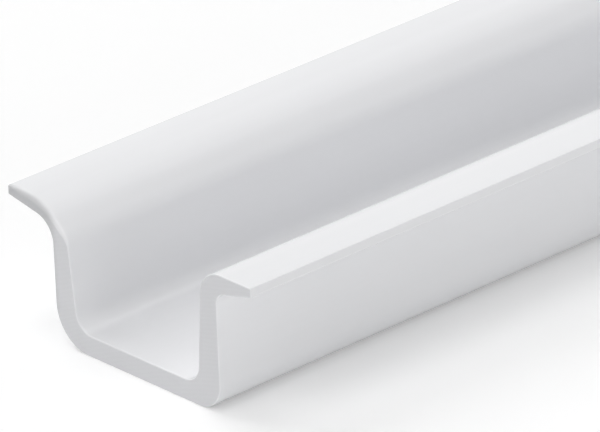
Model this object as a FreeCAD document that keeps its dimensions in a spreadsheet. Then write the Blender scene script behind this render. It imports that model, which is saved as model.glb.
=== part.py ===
import FreeCAD, Part
import os
import Sketcher

# Mounting rail of rigid plastic, one sawn length of extruded stock.
# X runs across the rail, Y along it and Z up. The origin lies under the middle of the rail.
# The section is a top hat that stands on its flat web. Its two walls thicken towards the web and
# its two rims thin towards their tips. The rim on the -X side flares out of its wall in one long
# curve, and the rim on the +X side leaves its wall squarely.

# Alias, millimetres, and what the size measures
SIZES = [
    ("stock_length", 1000, "length of the rail"),
    ("overall_width", 35, "from rim tip to rim tip"),
    ("overall_height", 15, "from the underside of the web to the top of the rims"),
    ("web_thickness", 2.25, "flat bottom of the channel"),
    ("wall_at_foot", 3.15, "wall at the level of the channel's floor"),
    ("wall_at_crown", 2.15, "wall where its inner face turns into the rim"),
    ("rim_at_wall", 2.2, "rim where it leaves the wall"),
    ("rim_at_tip", 1.0, "rim at its free edge"),
    ("flared_reach", 6.35, "from the flared rim's tip to its wall's outer face"),
    ("flared_run", 3.4, "across the flare, from its level top to its wall's inner face"),
    ("flared_drop", 3.2, "from the top down to the foot of the flare"),
    ("flared_bend_radius", 7.9, "where the level top rolls over"),
    ("flared_neck_radius", 2.5, "where the flare meets the wall's inner face"),
    ("flared_hook_radius", 2.7, "under the flared rim"),
    ("flared_foot_radius", 4.35, "outer bottom edge of the flared side"),
    ("square_reach", 5, "from the square rim's tip to its wall's outer face"),
    ("square_crown_radius", 3, "where the square rim rolls into the channel"),
    ("square_hook_radius", 1.4, "under the square rim"),
    ("square_foot_radius", 3.1, "outer bottom edge of the square side"),
    ("channel_radius", 2.1, "both inner edges of the channel's floor"),
    ("tip_radius", 0.15, "both edges of each rim tip"),
]

# Levels and lines that the section's corners lie on
TOP = "Sizes.overall_height"
FLOOR = "Sizes.web_thickness"
UNDER_TIP = "Sizes.overall_height - Sizes.rim_at_tip"
UNDER_RIM = "Sizes.overall_height - Sizes.rim_at_wall"
FLARED_TIP = "-Sizes.overall_width / 2"
FLARED_WALL = "-Sizes.overall_width / 2 + Sizes.flared_reach"
FLARED_NECK = FLARED_WALL + " + Sizes.wall_at_crown"
SQUARE_TIP = "Sizes.overall_width / 2"
SQUARE_WALL = "Sizes.overall_width / 2 - Sizes.square_reach"

# The section's corners before rounding, in order round the outline: X, Z and the rounding radius
CORNERS = [
    (FLARED_TIP, TOP, "tip_radius"),
    (FLARED_NECK + " - Sizes.flared_run", TOP, "flared_bend_radius"),
    (FLARED_NECK, TOP + " - Sizes.flared_drop", "flared_neck_radius"),
    (FLARED_WALL + " + Sizes.wall_at_foot", FLOOR, "channel_radius"),
    (SQUARE_WALL + " - Sizes.wall_at_foot", FLOOR, "channel_radius"),
    (SQUARE_WALL + " - Sizes.wall_at_crown", TOP, "square_crown_radius"),
    (SQUARE_TIP, TOP, "tip_radius"),
    (SQUARE_TIP, UNDER_TIP, "tip_radius"),
    (SQUARE_WALL, UNDER_RIM, "square_hook_radius"),
    (SQUARE_WALL, "0 mm", "square_foot_radius"),
    (FLARED_WALL, "0 mm", "flared_foot_radius"),
    (FLARED_WALL, UNDER_RIM, "flared_hook_radius"),
    (FLARED_TIP, UNDER_TIP, "tip_radius"),
]

EDGE_TOLERANCE = 1e-4
POINT_START = 1
POINT_END = 2
ORIGIN_POINT = (-1, POINT_START)


def add_sizes(doc):
    """Spreadsheet with the name, the millimetres and the meaning of each size."""
    sheet = doc.addObject("Spreadsheet::Sheet", "Sizes")
    for row, (alias, value, meaning) in enumerate(SIZES, start=1):
        sheet.set(f"A{row}", alias)
        sheet.set(f"B{row}", f"{value}")
        sheet.set(f"C{row}", meaning)
        sheet.setAlias(f"B{row}", alias)
    doc.recompute()
    return sheet


def corner_positions(sheet):
    """X and Z of the section's corners for the sizes that the sheet holds now."""
    return [(float(sheet.evalExpression(x)), float(sheet.evalExpression(z))) for x, z, _ in CORNERS]


def draw_section(body, sheet):
    """Sharp-cornered outline of the section, every corner placed from the sheet."""
    sketch = body.newObject("Sketcher::SketchObject", "Section")
    plane = next(item for item in body.Origin.OriginFeatures if item.Role == "XZ_Plane")
    sketch.AttachmentSupport = [(plane, "")]
    sketch.MapMode = "FlatFace"

    points = [FreeCAD.Vector(x, z, 0) for x, z in corner_positions(sheet)]
    following = points[1:] + points[:1]
    for start, end in zip(points, following):
        sketch.addGeometry(Part.LineSegment(start, end), False)

    for index, (x, z, _) in enumerate(CORNERS):
        before = (index - 1) % len(CORNERS)
        sketch.addConstraint(Sketcher.Constraint("Coincident", before, POINT_END, index, POINT_START))
        place_corner(sketch, index, "DistanceX", points[index].x, x)
        place_corner(sketch, index, "DistanceY", points[index].y, z)
    return sketch


def place_corner(sketch, index, direction, distance, expression):
    """Ties one coordinate of a corner to the sheet, or to the axis where it is zero."""
    if distance == 0:
        sketch.addConstraint(Sketcher.Constraint("PointOnObject", index, POINT_START, -1))
        return
    constraint = Sketcher.Constraint(direction, *ORIGIN_POINT, index, POINT_START, distance)
    number = sketch.addConstraint(constraint)
    sketch.setExpression(f"Constraints[{number}]", expression)


def extrude(body, sketch):
    """The rail's full length, half to each side of the section's plane."""
    pad = body.newObject("PartDesign::Pad", "Extrusion")
    pad.Profile = sketch
    pad.SideType = "Symmetric"
    pad.setExpression("Length", "Sizes.stock_length")
    sketch.Document.recompute()
    return pad


def long_edges(shape, corners):
    """Names of the edges that run along the rail through the given corners of the section."""
    names = []
    for number, edge in enumerate(shape.Edges, start=1):
        first, last = edge.Vertexes[0].Point, edge.Vertexes[-1].Point
        for x, z in corners:
            at_corner = abs(first.x - x) < EDGE_TOLERANCE and abs(first.z - z) < EDGE_TOLERANCE
            along_rail = abs(last.x - x) < EDGE_TOLERANCE and abs(last.z - z) < EDGE_TOLERANCE
            if at_corner and along_rail:
                names.append(f"Edge{number}")
    return names


def round_edges(body, feature, sheet):
    """One fillet for each radius, over every long edge that has it."""
    positions = corner_positions(sheet)
    radii = list(dict.fromkeys(radius for _, _, radius in CORNERS))
    for radius in radii:
        corners = [position for position, corner in zip(positions, CORNERS) if corner[2] == radius]
        fillet = body.newObject("PartDesign::Fillet", radius.title().replace("_", ""))
        fillet.Base = (feature, long_edges(feature.Shape, corners))
        fillet.setExpression("Radius", f"Sizes.{radius}")
        body.Document.recompute()
        feature = fillet
    return feature


def build_rail(doc, sheet):
    """The whole rail as one solid."""
    body = doc.addObject("PartDesign::Body", "Rail")
    body.Label = "rail"
    sketch = draw_section(body, sheet)
    pad = extrude(body, sketch)
    body.Tip = round_edges(body, pad, sheet)
    body.Placement = FreeCAD.Placement()
    return body


def check_document(doc, parts):
    """Raises if any object of the document failed or any part isn't one sound solid."""
    for item in doc.Objects:
        if "Invalid" in item.State or "Error" in item.State:
            raise RuntimeError(f"{item.Label} could not be worked out: {item.State}")
    for part in parts:
        if part.Shape.isNull() or not part.Shape.isValid():
            raise RuntimeError(f"{part.Label} has no sound shape")
        if len(part.Shape.Solids) != 1:
            raise RuntimeError(f"{part.Label} is {len(part.Shape.Solids)} solids, not one")


def write_parts(parts):
    """One STEP file for each part, named after its label."""
    os.makedirs("parts", exist_ok=True)
    for part in parts:
        part.Shape.exportStep(f"parts/{part.Label}.step")
        box = part.Shape.BoundBox
        print(f"{part.Label}: {box.XLength:.3f} x {box.YLength:.3f} x {box.ZLength:.3f} mm,"
              f" {part.Shape.Volume:.1f} mm3")


def main():
    doc = FreeCAD.newDocument("MountingRail")
    sheet = add_sizes(doc)
    parts = [build_rail(doc, sheet)]
    doc.recompute()
    check_document(doc, parts)
    write_parts(parts)


main()
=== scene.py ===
import math

import bpy
import numpy as np
from bpy.props import FloatProperty, FloatVectorProperty, IntProperty, PointerProperty
from mathutils import Matrix, Vector


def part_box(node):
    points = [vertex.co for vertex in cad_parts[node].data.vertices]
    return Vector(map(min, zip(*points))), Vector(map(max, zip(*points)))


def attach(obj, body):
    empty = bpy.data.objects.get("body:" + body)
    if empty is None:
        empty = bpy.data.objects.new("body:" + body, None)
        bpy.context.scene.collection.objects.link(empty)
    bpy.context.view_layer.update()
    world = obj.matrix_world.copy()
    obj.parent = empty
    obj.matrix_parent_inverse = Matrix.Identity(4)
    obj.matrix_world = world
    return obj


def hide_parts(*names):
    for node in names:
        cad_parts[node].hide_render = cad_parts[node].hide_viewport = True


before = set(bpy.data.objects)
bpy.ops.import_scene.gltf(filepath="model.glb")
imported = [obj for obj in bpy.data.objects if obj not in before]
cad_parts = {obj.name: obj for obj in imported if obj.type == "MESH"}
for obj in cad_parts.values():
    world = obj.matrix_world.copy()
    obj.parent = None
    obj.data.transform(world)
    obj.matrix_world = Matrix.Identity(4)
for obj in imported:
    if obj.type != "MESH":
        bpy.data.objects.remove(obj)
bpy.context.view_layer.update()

bl_info = {
    "name": "Plastic Mounting Rail",
    "version": (1, 0, 0),
    "blender": (4, 5, 0),
    "location": "3D View > Sidebar > Mounting Rail",
    "description": "A sawn length of extruded white plastic top-hat rail on a pale studio floor",
    "category": "Add Mesh",
}

RAIL_LOW, RAIL_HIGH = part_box("rail")

# Decimals that the panel shows of a size in metres
METRE_DECIMALS = 5

# Places of the flare's two corners in the list that section_corners gives
FLARED_BEND = 1
FLARED_NECK = 2

# Places of the two materials in the rail's list
SKIN_PLACE = 0
SAWN_PLACE = 1

# The part of a noise's range that holds nearly all of it
NOISE_LOW = 0.3
NOISE_HIGH = 0.7

# How many layers of finer lumps a noise has, where it is soft and where it is fine
SOFT_DETAIL = 1.0
FINE_DETAIL = 4.0

# Sizes in metres of the plastic's clouds and of the patches that handling has rubbed
CLOUD_SIZE = 0.03
RUB_SIZE = 0.002

# Scale of a pattern along the rail, so small that its lumps are drawn out into the die's lines
DIE_STRETCH = 0.012

# Metres after which a wave texture of scale 1 repeats
WAVE_PERIOD = math.pi / 10

# How finely the saw's marks wander, and the share of them that the saw has smeared
WANDER_SCALE = 0.2
SMEAR_SHARE = 0.6

# Alpha of a colour that nothing shows through
OPAQUE = 1.0

# Plain white, and the strength at which a white background is seen as plain white
WHITE = (1.0, 1.0, 1.0, OPAQUE)
WHITE_STRENGTH = 1.0

# Half the floor's width, and how near and how far the camera sees, in metres
FLOOR_HALF = 40.0
NEAREST_SEEN = 0.08
FARTHEST_SEEN = 160.0

# Each lamp's azimuth and elevation in degrees, and its width in metres. The right one reaches down past
# the floor, which hides that part of its light.
LAMP_PLACES = {
    "overhead": (0.0, 90.0, 2.4),
    "right": (90.0, 8.0, 3.6),
    "front": (0.0, 50.0, 3.6),
    "front_right": (50.0, 30.0, 3.6),
    "left": (270.0, 50.0, 3.6),
    "back": (195.0, 48.0, 3.6),
    "back_left": (228.0, 28.0, 3.6),
}


def length(name, meaning, metres):
    """A size in metres that the user may change."""
    return FloatProperty(
        name=name, description=meaning, default=metres, min=0.0, precision=METRE_DECIMALS, unit="LENGTH"
    )


def coordinate(name, meaning, metres):
    """A place along an axis, on either side of the middle."""
    return FloatProperty(
        name=name, description=meaning, default=metres, precision=METRE_DECIMALS, unit="LENGTH"
    )


def share(name, meaning, value, highest=1.0):
    """A plain number from zero up."""
    return FloatProperty(name=name, description=meaning, default=value, min=0.0, max=highest)


def steps(name, meaning, number, fewest):
    """A whole number of steps."""
    return IntProperty(name=name, description=meaning, default=number, min=fewest)


def colour(name, meaning, value):
    """A linear colour."""
    return FloatVectorProperty(
        name=name, description=meaning, default=value, min=0.0, max=1.0, subtype="COLOR"
    )


def angle(name, meaning, degrees):
    """An angle, kept in radians and shown in degrees."""
    return FloatProperty(name=name, description=meaning, default=math.radians(degrees), subtype="ANGLE")


def power(name, meaning, watts):
    """A lamp's power."""
    return FloatProperty(name=name, description=meaning, default=watts, min=0.0, unit="POWER")


class RailSection(bpy.types.PropertyGroup):
    """Sizes of the extruded section."""

    web_thickness: length("Web", "Flat bottom of the channel", 0.00225)
    wall_at_foot: length("Wall at foot", "Wall at the level of the channel's floor", 0.00315)
    wall_at_crown: length("Wall at crown", "Wall where its inner face turns into the rim", 0.00215)
    rim_at_wall: length("Rim at wall", "Rim where it leaves the wall", 0.0022)
    rim_at_tip: length("Rim at tip", "Rim at its free edge", 0.001)
    flared_reach: length("Flared reach", "From the flared rim's tip to its wall's outer face", 0.00635)
    flared_run: length("Flared run", "Across the flare, from its level top to the wall inside", 0.0034)
    flared_drop: length("Flared drop", "From the top down to the foot of the flare", 0.0032)
    flared_bend_radius: length("Flared bend", "Radius where the level top rolls over", 0.0079)
    flared_neck_radius: length("Flared neck", "Radius where the flare meets the wall", 0.0025)
    flared_hook_radius: length("Flared hook", "Radius under the flared rim", 0.0027)
    flared_foot_radius: length("Flared foot", "Outer bottom edge of the flared side", 0.00435)
    square_reach: length("Square reach", "From the square rim's tip to its wall's outer face", 0.005)
    square_crown_radius: length("Square crown", "Radius where the square rim rolls inwards", 0.003)
    square_hook_radius: length("Square hook", "Radius under the square rim", 0.0014)
    square_foot_radius: length("Square foot", "Outer bottom edge of the square side", 0.0031)
    channel_radius: length("Channel corners", "Both inner edges of the channel's floor", 0.0021)
    tip_radius: length("Tip edges", "Both edges of each rim tip", 0.00015)
    broken_edge: length("Broken edge", "Rounding round the sawn ends", 0.00012)
    scraped_edge: length("Scraped edge", "Rounding of the sawn ends along the flared rim's top", 0.00055)


class RailMesh(bpy.types.PropertyGroup):
    """How finely the rail's surface is divided."""

    arc_steps: steps("Arc steps", "Points on each rounded edge", 14, 2)
    edge_steps: steps("Edge steps", "Points across a broken edge", 8, 2)
    length_steps: steps("Length steps", "Bands along the rail", 50, 1)


class PlasticFinish(bpy.types.PropertyGroup):
    """The extruded plastic's skin and the faces that the saw leaves."""

    plastic: colour("Plastic", "Rigid white plastic", (0.865, 0.869, 0.886))
    cloud: share("Cloud", "How much lighter and darker the plastic is from place to place", 0.01)
    streak: share("Streak", "How much lighter and darker it is along the die's lines", 0.003)
    roughness: share("Roughness", "Satin skin that the die leaves", 0.2)
    rubbed: share("Rubbed", "How much the roughness changes where the rail has been handled", 0.04)
    die_line: length("Die line", "Width of the faint lines that the die draws along the rail", 0.0006)
    die_depth: length("Die depth", "Depth of those lines", 0.000004)
    grain: length("Grain", "Size of the skin's fine grain", 0.0001)
    grain_depth: length("Grain depth", "Depth of the grain", 0.0000008)
    # Darker than the skin partly because a sawn face is duller, and partly as painted shade on the sawn
    # ends.
    sawn: colour("Sawn plastic", "The duller face that the saw leaves", (0.746, 0.750, 0.770))
    sawn_cloud: share("Sawn cloud", "How much lighter and darker the saw's marks are", 0.008)
    sawn_roughness: share("Sawn roughness", "Face that the saw leaves", 0.6)
    # Painted shade on the sawn face of the thin flared rim: how much darker it is painted, and, after the
    # next line, the places across the rail where that painted shade is full and where it ends.
    painted_rim_shade: share("Glaze", "How much darker the saw has glazed the thin flared rim", 0.21)
    # Painted shade on the flared rim's scraped edges at the sawn ends, which carries the sawn face's
    # painted shade over the rounding.
    painted_edge_shade: share("Scrape", "How much darker the flared rim's scraped edge is", 0.27)
    painted_rim_shade_full: coordinate("Full glaze", "Place across the rail where the glaze is full", -0.012)
    painted_rim_shade_end: coordinate("Glaze's end", "Place across the rail where the glaze ends", -0.0103)
    saw_spacing: length("Saw marks", "From one mark of the saw to the next", 0.00045)
    saw_depth: length("Saw mark depth", "Depth of those marks", 0.0000035)
    saw_smear: length("Saw smear", "Size of the patches where the saw has smeared its marks", 0.0011)
    saw_wander: share("Saw wander", "How far the marks stray from true arcs, in radians", 4.0, 20.0)
    saw_across: length("Saw centre across", "Saw spindle's place across the rail", 0.045)
    saw_below: length("Saw centre below", "Saw spindle's depth under the rail", 0.115)
    refraction: FloatProperty(name="Index", description="Index of refraction", default=1.53, min=1.0)


class StageLight(bpy.types.PropertyGroup):
    """Lamps, floor and background. The lamps stand round the near sawn end and face it."""

    room: share("Room light", "Even light from all round", 0.25, 10.0)
    reach: length("Lamp distance", "From the sawn end to each lamp", 6.0)
    overhead: power("Overhead", "Straight above", 52.8)
    right: power("Right", "Low, on the square rim's side", 79.9)
    front: power("Front", "High before the sawn end", 76.9)
    front_right: power("Front right", "Near the camera's side", 41.4)
    left: power("Left", "High on the flared rim's side", 98.6)
    back: power("Back", "High behind, which lights up the flare's bend", 27.6)
    back_left: power("Back left", "Low behind the flared rim", 17.2)
    floor_tint: colour("Floor", "Pale paper under the rail", (0.92, 0.92, 0.92))
    floor_roughness: share("Floor roughness", "Matt paper", 0.9)
    floor_glow: share("Floor glow", "White that the floor adds where it is looked at", 0.168)
    far_glow: share("Far glow", "White that it adds where the lamps don't reach", 0.85)
    lit_radius: length("Lit floor", "How far round the origin the lamps light the floor fully", 0.9)
    unlit_radius: length("Unlit floor", "Where the lamps' light on the floor has ended", 5.0)


class StageView(bpy.types.PropertyGroup):
    """Where the photograph was taken from, measured from the near sawn end's middle."""

    azimuth: angle("Azimuth", "Round the rail, from straight along it", 48.1)
    elevation: angle("Elevation", "Above the floor", 24.82)
    roll: angle("Roll", "Tilt of the picture", -2.35)
    distance: length("Distance", "From the aim point to the camera", 0.8045)
    aim_right: length("Aim right", "Aim point, to the right of the sawn end's middle", 0.01631)
    aim_up: length("Aim up", "Aim point, above the sawn end's middle", 0.00872)
    lens: FloatProperty(name="Lens", description="Focal length in millimetres", default=500.9, min=1.0)


def section_corners(section):
    """The section's sharp corners as X and Z, clockwise from the flared rim's tip, and each one's radius.

    Both walls stand upright outside and lean inside; both rims are level on top and slope underneath.
    """
    top = RAIL_HIGH.z
    base = RAIL_LOW.z
    flared_wall = RAIL_LOW.x + section.flared_reach
    square_wall = RAIL_HIGH.x - section.square_reach
    flared_neck = flared_wall + section.wall_at_crown
    floor = base + section.web_thickness
    under_rim = top - section.rim_at_wall
    under_tip = top - section.rim_at_tip
    corners = [
        (RAIL_LOW.x, top, section.tip_radius),
        (flared_neck - section.flared_run, top, section.flared_bend_radius),
        (flared_neck, top - section.flared_drop, section.flared_neck_radius),
        (flared_wall + section.wall_at_foot, floor, section.channel_radius),
        (square_wall - section.wall_at_foot, floor, section.channel_radius),
        (square_wall - section.wall_at_crown, top, section.square_crown_radius),
        (RAIL_HIGH.x, top, section.tip_radius),
        (RAIL_HIGH.x, under_tip, section.tip_radius),
        (square_wall, under_rim, section.square_hook_radius),
        (square_wall, base, section.square_foot_radius),
        (flared_wall, base, section.flared_foot_radius),
        (flared_wall, under_rim, section.flared_hook_radius),
        (RAIL_LOW.x, under_tip, section.tip_radius),
    ]
    table = np.array(corners)
    return table[:, :2], table[:, 2]


def sawn_edges(section, corner_count, arc_steps):
    """The rounding at the sawn ends for each point of the outline.

    It widens along the flared rim's level top, is widest over the bend and runs out evenly over the neck.
    """
    edges = np.full((corner_count, arc_steps), section.broken_edge)
    edges[FLARED_BEND] = section.scraped_edge
    edges[FLARED_NECK] = np.linspace(section.scraped_edge, section.broken_edge, arc_steps)
    return edges.ravel()


def rounded_outline(corners, radii, arc_steps):
    """A closed clockwise outline with an arc at each corner, and its outward normals.

    At a corner the side's direction turns by an angle w. The arc starts r tan(|w| / 2) before the corner,
    its centre lies r to the inner side of that start (the outer side where the outline is hollow), and its
    normal is the first side's normal turned by a share of w that runs evenly from 0 to 1.
    """
    arriving = corners - np.roll(corners, 1, axis=0)
    arriving /= np.linalg.norm(arriving, axis=1, keepdims=True)
    leaving = np.roll(arriving, -1, axis=0)
    cross = arriving[:, 0] * leaving[:, 1] - arriving[:, 1] * leaving[:, 0]
    turn = np.arctan2(cross, np.sum(arriving * leaving, axis=1))
    bulge = -np.sign(turn)

    first_normal = np.stack([-arriving[:, 1], arriving[:, 0]], axis=1)
    start = corners - arriving * (radii * np.tan(np.abs(turn) / 2))[:, None]
    centre = start - (bulge * radii)[:, None] * first_normal

    turned = turn[:, None] * np.linspace(0.0, 1.0, arc_steps)
    normals = np.stack([
        first_normal[:, :1] * np.cos(turned) - first_normal[:, 1:] * np.sin(turned),
        first_normal[:, :1] * np.sin(turned) + first_normal[:, 1:] * np.cos(turned),
    ], axis=2)
    points = centre[:, None, :] + (bulge * radii)[:, None, None] * normals
    return points.reshape(-1, 2), normals.reshape(-1, 2)


def rail_stations(low, high, edges, mesh_steps):
    """Places along the rail and how far the outline draws in there, for each point of the outline.

    Over each end's broken edge of radius r, at an angle p from 0 to 90 degrees, the place is r (1 - sin p)
    from the end and the outline is drawn in by r (1 - cos p). Between the two edges it isn't drawn in.
    """
    sweep = np.linspace(math.pi / 2, 0.0, mesh_steps.edge_steps)[:, None]
    offset = edges * (1 - np.sin(sweep))
    drawn_in = edges * (1 - np.cos(sweep))
    middle = np.linspace(low + edges, high - edges, mesh_steps.length_steps + 1)[1:-1]
    places = np.concatenate([low + offset, middle, (high - offset)[::-1]])
    insets = np.concatenate([drawn_in, np.zeros_like(middle), drawn_in[::-1]])
    return places, insets


def swept_grid(outline, normals, places, insets):
    """The outline carried along Y: at place y the point is outline - inset(y) * normal, in X and Z."""
    section = outline - insets[:, :, None] * normals
    return np.stack([section[..., 0], places, section[..., 1]], axis=2)


def tube_faces(rings, around):
    """Quads between each ring and the next, with the outline closed on itself."""
    ring, spot = np.meshgrid(np.arange(rings - 1), np.arange(around), indexing="ij")
    following = (spot + 1) % around
    here = ring * around
    beyond = here + around
    corners = [here + spot, here + following, beyond + following, beyond + spot]
    return np.stack(corners, axis=2).reshape(-1, 4)


def new_mesh_object(name, points, quads, caps):
    """A mesh of quads and flat end caps.

    The quads are smooth and take the skin's material, and the caps take the sawn face's.
    """
    mesh = bpy.data.meshes.new(name)
    mesh.from_pydata(points.reshape(-1, 3).tolist(), [], quads.tolist() + caps)
    smooth = np.concatenate([np.ones(len(quads), dtype=bool), np.zeros(len(caps), dtype=bool)])
    mesh.polygons.foreach_set("use_smooth", smooth)
    mesh.polygons.foreach_set("material_index", np.where(smooth, SKIN_PLACE, SAWN_PLACE).astype(np.int32))
    mesh.validate()
    mesh.update()
    piece = bpy.data.objects.new(name, mesh)
    bpy.context.scene.collection.objects.link(piece)
    return piece


def rail_piece(section, mesh_steps):
    """The rail: its rounded section carried along Y, with broken edges and a flat face at both ends."""
    corners, radii = section_corners(section)
    outline, normals = rounded_outline(corners, radii, mesh_steps.arc_steps)
    edges = sawn_edges(section, len(corners), mesh_steps.arc_steps)
    places, insets = rail_stations(RAIL_LOW.y, RAIL_HIGH.y, edges, mesh_steps)
    grid = swept_grid(outline, normals, places, insets)
    rings, around = grid.shape[:2]
    near_cap = list(range(around))[::-1]
    far_cap = list(range((rings - 1) * around, rings * around))
    return new_mesh_object("mounting_rail", grid, tube_faces(rings, around), [near_cap, far_cap])


class MaterialTree:
    """A node material with its output and a Principled shader, and short ways to add more nodes."""

    def __init__(self, name):
        self.material = bpy.data.materials.new(name)
        self.material.use_nodes = True
        self.nodes = self.material.node_tree.nodes
        self.links = self.material.node_tree.links
        self.nodes.clear()
        self.output = self.nodes.new("ShaderNodeOutputMaterial")
        self.shader = self.nodes.new("ShaderNodeBsdfPrincipled")
        self.links.new(self.shader.outputs["BSDF"], self.output.inputs["Surface"])

    def fill(self, socket, value):
        """Links the socket to another node's output, or sets it to a plain value."""
        if isinstance(value, bpy.types.NodeSocket):
            self.links.new(value, socket)
        else:
            socket.default_value = value

    def object_place(self, move=(0.0, 0.0, 0.0), stretch=(1.0, 1.0, 1.0)):
        """The piece's own coordinates in metres, moved and then stretched."""
        coordinates = self.nodes.new("ShaderNodeTexCoord")
        mapping = self.nodes.new("ShaderNodeMapping")
        mapping.inputs["Location"].default_value = [m * f for m, f in zip(move, stretch)]
        mapping.inputs["Scale"].default_value = stretch
        self.links.new(coordinates.outputs["Object"], mapping.inputs["Vector"])
        return mapping.outputs["Vector"]

    def noise(self, place, size, detail):
        """Even noise between 0 and 1, with lumps of the given size in metres."""
        node = self.nodes.new("ShaderNodeTexNoise")
        node.inputs["Scale"].default_value = 1.0 / size
        node.inputs["Detail"].default_value = detail
        self.links.new(place, node.inputs["Vector"])
        return node.outputs["Fac"]

    def spread(self, value, middle, reach):
        """Turns a noise into values that lie up to reach on either side of the middle."""
        return self.ramp(value, NOISE_LOW, NOISE_HIGH, middle - reach, middle + reach, "LINEAR")

    def ramp(self, value, start, end, low, high, course="SMOOTHSTEP"):
        """From low to high as the value goes from start to end, with soft ends unless told otherwise."""
        node = self.nodes.new("ShaderNodeMapRange")
        node.interpolation_type = course
        node.inputs["From Min"].default_value = start
        node.inputs["From Max"].default_value = end
        node.inputs["To Min"].default_value = low
        node.inputs["To Max"].default_value = high
        self.links.new(value, node.inputs["Value"])
        return node.outputs["Result"]

    def axis(self, place, name):
        """One of a place's three coordinates."""
        node = self.nodes.new("ShaderNodeSeparateXYZ")
        self.links.new(place, node.inputs["Vector"])
        return node.outputs[name]

    def absolute(self, value):
        """A value without its sign."""
        node = self.nodes.new("ShaderNodeMath")
        node.operation = "ABSOLUTE"
        self.links.new(value, node.inputs["Value"])
        return node.outputs["Value"]

    def distance(self, place):
        """How far a place lies from the origin."""
        node = self.nodes.new("ShaderNodeVectorMath")
        node.operation = "LENGTH"
        self.links.new(place, node.inputs[0])
        return node.outputs["Value"]

    def combine(self, operation, first, second):
        """One step of arithmetic on two values."""
        node = self.nodes.new("ShaderNodeMath")
        node.operation = operation
        self.fill(node.inputs[0], first)
        self.fill(node.inputs[1], second)
        return node.outputs["Value"]

    def mix(self, first, second, share_of_second):
        """The first value, with a share of it given over to the second."""
        node = self.nodes.new("ShaderNodeMix")
        node.data_type = "FLOAT"
        node.inputs["Factor"].default_value = share_of_second
        self.links.new(first, node.inputs["A"])
        self.links.new(second, node.inputs["B"])
        return node.outputs["Result"]

    def shade(self, tint, factor):
        """A colour made lighter or darker by a factor."""
        node = self.nodes.new("ShaderNodeVectorMath")
        node.operation = "SCALE"
        node.inputs[0].default_value = tint
        self.links.new(factor, node.inputs["Scale"])
        return node.outputs["Vector"]

    def relief(self, height, depth, under=None):
        """Bump from a pattern between 0 and 1 that stands for the given depth in metres."""
        node = self.nodes.new("ShaderNodeBump")
        node.inputs["Distance"].default_value = depth
        self.links.new(height, node.inputs["Height"])
        if under is not None:
            self.links.new(under, node.inputs["Normal"])
        return node.outputs["Normal"]


def painted_flare_edge_shade(tree, place, finish, scraped_edge):
    """1 on the skin, and less on the flared rim's scraped edges at the sawn ends: painted shade that
    carries the sawn face's painted shade out over them.
    """
    from_middle = tree.absolute(tree.axis(place, "Y"))
    near_end = tree.ramp(from_middle, RAIL_HIGH.y - scraped_edge, RAIL_HIGH.y, 0.0, finish.painted_edge_shade)
    on_flare = tree.ramp(tree.axis(place, "X"), finish.painted_rim_shade_full, finish.painted_rim_shade_end, 1.0, 0.0)
    return tree.combine("SUBTRACT", 1.0, tree.combine("MULTIPLY", near_end, on_flare))


def skin_material(finish, scraped_edge):
    """Extruded skin: satin, slightly cloudy, with faint lines along the rail and a very fine grain.

    It has painted shade on the flared rim's scraped edges at the sawn ends.
    """
    tree = MaterialTree("white_plastic")
    place = tree.object_place()
    along = tree.object_place(stretch=(1.0, DIE_STRETCH, 1.0))
    cloud = tree.noise(place, CLOUD_SIZE, SOFT_DETAIL)
    lines = tree.noise(along, finish.die_line, FINE_DETAIL)
    grain = tree.noise(place, finish.grain, SOFT_DETAIL)
    rubbed = tree.noise(along, RUB_SIZE, FINE_DETAIL)

    clouded = tree.spread(cloud, 1.0, finish.cloud)
    streaked = tree.spread(lines, 1.0, finish.streak)
    # Painted shade on the flared rim's scraped edges at the sawn ends.
    scraped = painted_flare_edge_shade(tree, place, finish, scraped_edge)
    lightness = tree.combine("MULTIPLY", tree.combine("MULTIPLY", clouded, streaked), scraped)
    tree.fill(tree.shader.inputs["Base Color"], tree.shade(finish.plastic, lightness))
    tree.fill(tree.shader.inputs["Roughness"], tree.spread(rubbed, finish.roughness, finish.rubbed))
    tree.shader.inputs["IOR"].default_value = finish.refraction
    skin = tree.relief(grain, finish.grain_depth, tree.relief(lines, finish.die_depth))
    tree.fill(tree.shader.inputs["Normal"], skin)
    return tree.material


def sawn_material(finish):
    """Sawn face: rougher, and darker than the skin partly as a duller face and partly as painted shade,
    with the faint arcs that the blade's teeth leave round its spindle.

    It has painted shade on the thin flared rim.
    """
    tree = MaterialTree("sawn_plastic")
    place = tree.object_place()
    spindle = tree.object_place(move=(-finish.saw_across, 0.0, finish.saw_below))
    marks = tree.nodes.new("ShaderNodeTexWave")
    marks.wave_type = "RINGS"
    marks.rings_direction = "Y"
    marks.wave_profile = "SIN"
    marks.inputs["Scale"].default_value = WAVE_PERIOD / finish.saw_spacing
    marks.inputs["Distortion"].default_value = finish.saw_wander
    marks.inputs["Detail"].default_value = FINE_DETAIL
    marks.inputs["Detail Scale"].default_value = WANDER_SCALE
    tree.links.new(spindle, marks.inputs["Vector"])
    smear = tree.noise(place, finish.saw_smear, FINE_DETAIL)

    teeth = tree.mix(marks.outputs["Fac"], smear, SMEAR_SHARE)
    clouded = tree.spread(teeth, 1.0, finish.sawn_cloud)
    across = tree.axis(place, "X")
    # Painted shade: darker on the thin flared rim's sawn face.
    shaded = tree.ramp(across, finish.painted_rim_shade_full, finish.painted_rim_shade_end, 1.0 - finish.painted_rim_shade, 1.0)
    lightness = tree.combine("MULTIPLY", clouded, shaded)
    # The sawn colour holds painted shade as well as the sawn face's own dullness.
    tree.fill(tree.shader.inputs["Base Color"], tree.shade(finish.sawn, lightness))
    tree.fill(tree.shader.inputs["Roughness"], tree.spread(smear, finish.sawn_roughness, finish.rubbed))
    tree.shader.inputs["IOR"].default_value = finish.refraction
    tree.fill(tree.shader.inputs["Normal"], tree.relief(teeth, finish.saw_depth))
    return tree.material


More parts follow.
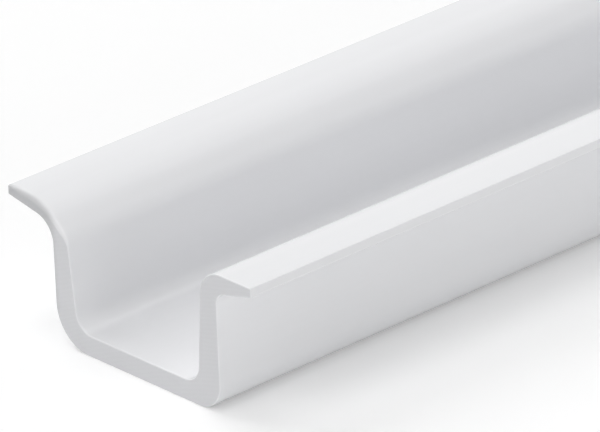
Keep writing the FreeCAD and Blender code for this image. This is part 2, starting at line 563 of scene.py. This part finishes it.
class MOUNTING_RAIL_OT_extrude(bpy.types.Operator):
    """Make the length of rail, with its plastic and its sawn ends"""

    bl_idname = "mounting_rail.extrude"
    bl_label = "Extrude the Rail"

    def execute(self, context):
        scene = context.scene
        finish = scene.rail_finish
        piece = rail_piece(scene.rail_section, scene.rail_mesh)
        piece.data.materials.append(skin_material(finish, scene.rail_section.scraped_edge))
        piece.data.materials.append(sawn_material(finish))
        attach(piece, "root")
        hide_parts("rail")
        return {"FINISHED"}


def seen_directly(nodes, links):
    """1 for rays that show the surface itself, directly, in a reflection or through glass, otherwise 0."""
    rays = nodes.new("ShaderNodeLightPath")
    seen = rays.outputs["Is Camera Ray"]
    for kind in ("Is Glossy Ray", "Is Transmission Ray"):
        either = nodes.new("ShaderNodeMath")
        either.operation = "MAXIMUM"
        links.new(seen, either.inputs[0])
        links.new(rays.outputs[kind], either.inputs[1])
        seen = either.outputs["Value"]
    return seen


def floor_material(light):
    """Matt paper that adds some white of its own where it is looked at, and keeps the rail's shadow.

    It adds more where the lamps don't reach, so that it stays as pale as the background there.
    """
    tree = MaterialTree("floor_paper")
    tree.shader.inputs["Base Color"].default_value = (*light.floor_tint, OPAQUE)
    tree.shader.inputs["Roughness"].default_value = light.floor_roughness
    away = tree.distance(tree.object_place())
    white = tree.ramp(away, light.lit_radius, light.unlit_radius, light.floor_glow, light.far_glow)
    glow = tree.combine("MULTIPLY", seen_directly(tree.nodes, tree.links), white)
    tree.shader.inputs["Emission Color"].default_value = WHITE
    tree.fill(tree.shader.inputs["Emission Strength"], glow)
    return tree.material


def add_floor(light):
    """A wide square of pale paper, level with the rail's underside."""
    corners = np.array([(-1, -1, 0), (1, -1, 0), (1, 1, 0), (-1, 1, 0)]) * FLOOR_HALF + (0, 0, RAIL_LOW.z)
    mesh = bpy.data.meshes.new("floor")
    mesh.from_pydata(corners.tolist(), [], [(0, 1, 2, 3)])
    mesh.materials.append(floor_material(light))
    floor = bpy.data.objects.new("floor", mesh)
    bpy.context.scene.collection.objects.link(floor)


def add_room(strength):
    """World that lights evenly from all round, and is plain white where it is seen."""
    world = bpy.data.worlds.new("studio")
    bpy.context.scene.world = world
    world.use_nodes = True
    nodes, links = world.node_tree.nodes, world.node_tree.links
    background = nodes["Background"]
    background.inputs["Color"].default_value = WHITE
    level = nodes.new("ShaderNodeMapRange")
    level.inputs["To Min"].default_value = strength
    level.inputs["To Max"].default_value = WHITE_STRENGTH
    links.new(seen_directly(nodes, links), level.inputs["Value"])
    links.new(level.outputs["Result"], background.inputs["Strength"])


def add_lamp(name, azimuth, elevation, width, distance, watts):
    """A square soft lamp round the near sawn end, facing it and unseen by the camera.

    Azimuth 0 is before the sawn end, 90 to its right, and 180 behind it.
    """
    aim = Vector((0.0, RAIL_LOW.y, RAIL_LOW.z))
    turn, rise = math.radians(azimuth), math.radians(elevation)
    towards = Vector((math.sin(turn) * math.cos(rise), -math.cos(turn) * math.cos(rise), math.sin(rise)))
    lamp = bpy.data.lights.new(name, "AREA")
    lamp.shape = "SQUARE"
    lamp.size = width
    lamp.energy = watts
    holder = bpy.data.objects.new(name, lamp)
    holder.location = aim + distance * towards
    holder.rotation_mode = "QUATERNION"
    holder.rotation_quaternion = (-towards).to_track_quat("-Z", "Y")
    holder.visible_camera = False
    bpy.context.scene.collection.objects.link(holder)


def add_camera(view):
    """Camera at the photograph's angle, aimed beside the near sawn end's middle."""
    middle = Vector(((RAIL_LOW.x + RAIL_HIGH.x) / 2, RAIL_LOW.y, (RAIL_LOW.z + RAIL_HIGH.z) / 2))
    azimuth, elevation, roll = view.azimuth, view.elevation, view.roll
    back = Vector((
        math.sin(azimuth) * math.cos(elevation),
        -math.cos(azimuth) * math.cos(elevation),
        math.sin(elevation),
    ))
    level_right = Vector((math.cos(azimuth), math.sin(azimuth), 0.0))
    level_up = back.cross(level_right)
    right = math.cos(roll) * level_right + math.sin(roll) * level_up
    up = math.cos(roll) * level_up - math.sin(roll) * level_right

    data = bpy.data.cameras.new("camera")
    data.lens = view.lens
    data.clip_start = NEAREST_SEEN
    data.clip_end = FARTHEST_SEEN
    camera = bpy.data.objects.new("camera", data)
    turn = Matrix((right, up, back)).transposed()
    camera.rotation_mode = "QUATERNION"
    camera.rotation_quaternion = turn.to_quaternion()
    camera.location = middle + view.aim_right * right + view.aim_up * up + view.distance * back
    bpy.context.scene.collection.objects.link(camera)
    bpy.context.scene.camera = camera


class MOUNTING_RAIL_OT_stage(bpy.types.Operator):
    """Lay the floor, hang the lamps and place the camera"""

    bl_idname = "mounting_rail.stage"
    bl_label = "Set the Stage"

    def execute(self, context):
        light = context.scene.rail_light
        add_floor(light)
        add_room(light.room)
        for name, (azimuth, elevation, width) in LAMP_PLACES.items():
            add_lamp(name, azimuth, elevation, width, light.reach, getattr(light, name))
        add_camera(context.scene.rail_view)
        context.scene.view_settings.view_transform = "Standard"
        return {"FINISHED"}


class VIEW3D_PT_mounting_rail(bpy.types.Panel):
    """Lists the rail's sizes, finish and stage"""

    bl_label = "Mounting Rail"
    bl_space_type = "VIEW_3D"
    bl_region_type = "UI"
    bl_category = "Mounting Rail"

    def draw(self, context):
        column = self.layout.column()
        for name in SETTINGS:
            group = getattr(context.scene, name)
            for field in group.__annotations__:
                column.prop(group, field)
        for operator in (MOUNTING_RAIL_OT_extrude, MOUNTING_RAIL_OT_stage):
            column.operator(operator.bl_idname)


SETTINGS = {
    "rail_section": RailSection,
    "rail_mesh": RailMesh,
    "rail_finish": PlasticFinish,
    "rail_light": StageLight,
    "rail_view": StageView,
}
CLASSES = (*SETTINGS.values(), MOUNTING_RAIL_OT_extrude, MOUNTING_RAIL_OT_stage, VIEW3D_PT_mounting_rail)


def register():
    for item in CLASSES:
        bpy.utils.register_class(item)
    for name, group in SETTINGS.items():
        setattr(bpy.types.Scene, name, PointerProperty(type=group))


def unregister():
    for name in SETTINGS:
        delattr(bpy.types.Scene, name)
    for item in reversed(CLASSES):
        bpy.utils.unregister_class(item)


def main():
    register()
    bpy.ops.mounting_rail.extrude()
    bpy.ops.mounting_rail.stage()


if __name__ == "__main__":
    main()
